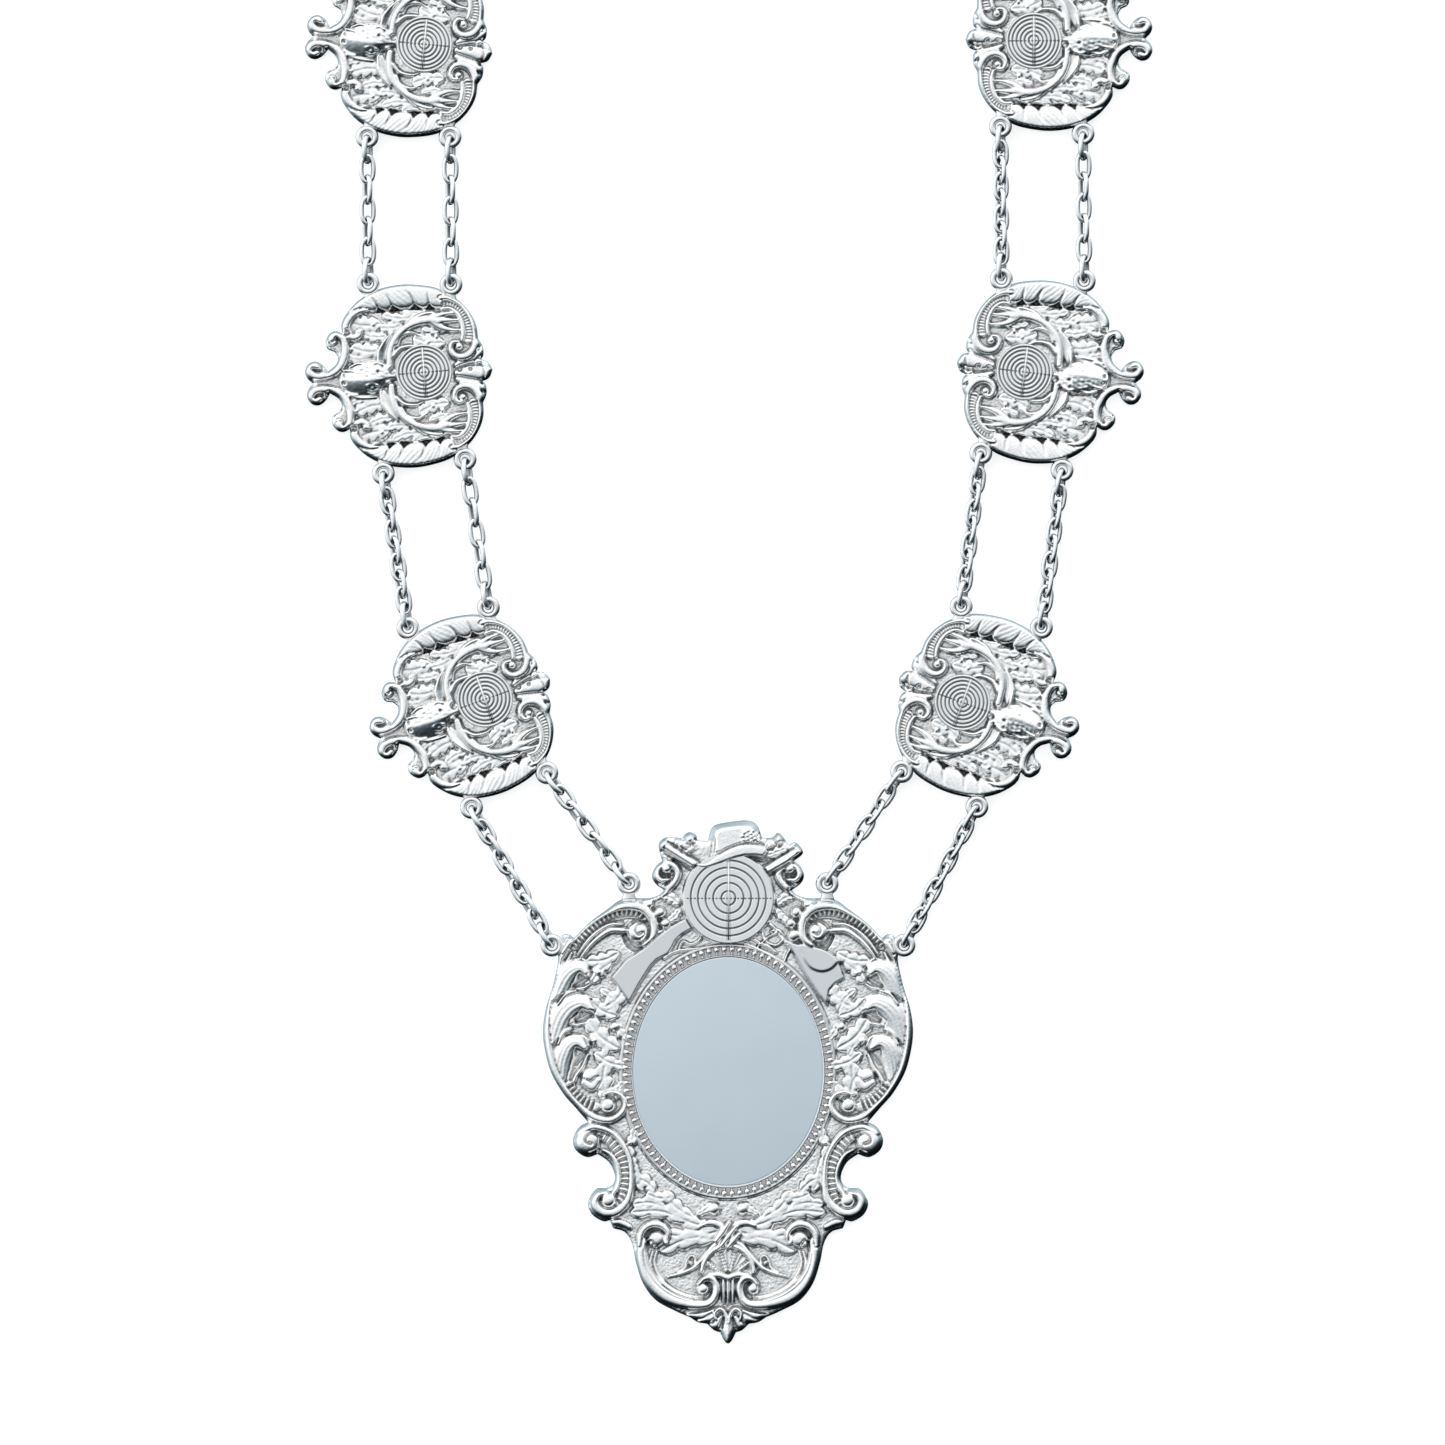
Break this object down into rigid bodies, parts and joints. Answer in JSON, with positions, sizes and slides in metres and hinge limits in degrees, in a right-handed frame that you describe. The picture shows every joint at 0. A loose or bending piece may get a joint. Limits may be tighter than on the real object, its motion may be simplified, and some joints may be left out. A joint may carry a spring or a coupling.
{
  "type": "shooting guild chain",
  "caption": "Silver guild collar: shield pendant with oval field, target, hat and crossed rifles, hung from stag medallions joined by pairs of link strands and a plain back ring.",
  "frame": {"origin": "on the pendant's flat back, under the middle of its oval field", "axes": "+Z out of the faces, with the chain lying on its back at z = 0, and +Y from the pendant towards the back ring"},
  "size_m": [0.216, 0.5329, 0.0051],
  "materials": {
    "cast_silver": "polished cast silver, darkened in the hollows",
    "chain_silver": "polished silver wire"
  },
  "bodies": {
    "root": {"pendant": "cast_silver", "back_ring": "chain_silver", "left_medallion_1": "cast_silver", "left_medallion_2": "cast_silver", "left_medallion_3": "cast_silver", "left_medallion_4": "cast_silver", "left_medallion_5": "cast_silver", "left_outer_strand_1": "chain_silver", "left_outer_strand_2": "chain_silver", "left_outer_strand_3": "chain_silver", "left_outer_strand_4": "chain_silver", "left_outer_strand_5": "chain_silver", "left_outer_strand_6": "chain_silver", "left_inner_strand_1": "chain_silver", "left_inner_strand_2": "chain_silver", "left_inner_strand_3": "chain_silver", "left_inner_strand_4": "chain_silver", "left_inner_strand_5": "chain_silver", "left_inner_strand_6": "chain_silver", "left_joining_ring": "chain_silver", "left_end_strand": "chain_silver", "right_medallion_1": "cast_silver", "right_medallion_2": "cast_silver", "right_medallion_3": "cast_silver", "right_medallion_4": "cast_silver", "right_medallion_5": "cast_silver", "right_outer_strand_1": "chain_silver", "right_outer_strand_2": "chain_silver", "right_outer_strand_3": "chain_silver", "right_outer_strand_4": "chain_silver", "right_outer_strand_5": "chain_silver", "right_outer_strand_6": "chain_silver", "right_inner_strand_1": "chain_silver", "right_inner_strand_2": "chain_silver", "right_inner_strand_3": "chain_silver", "right_inner_strand_4": "chain_silver", "right_inner_strand_5": "chain_silver", "right_inner_strand_6": "chain_silver", "right_joining_ring": "chain_silver", "right_end_strand": "chain_silver"}
  },
  "joints": []
}
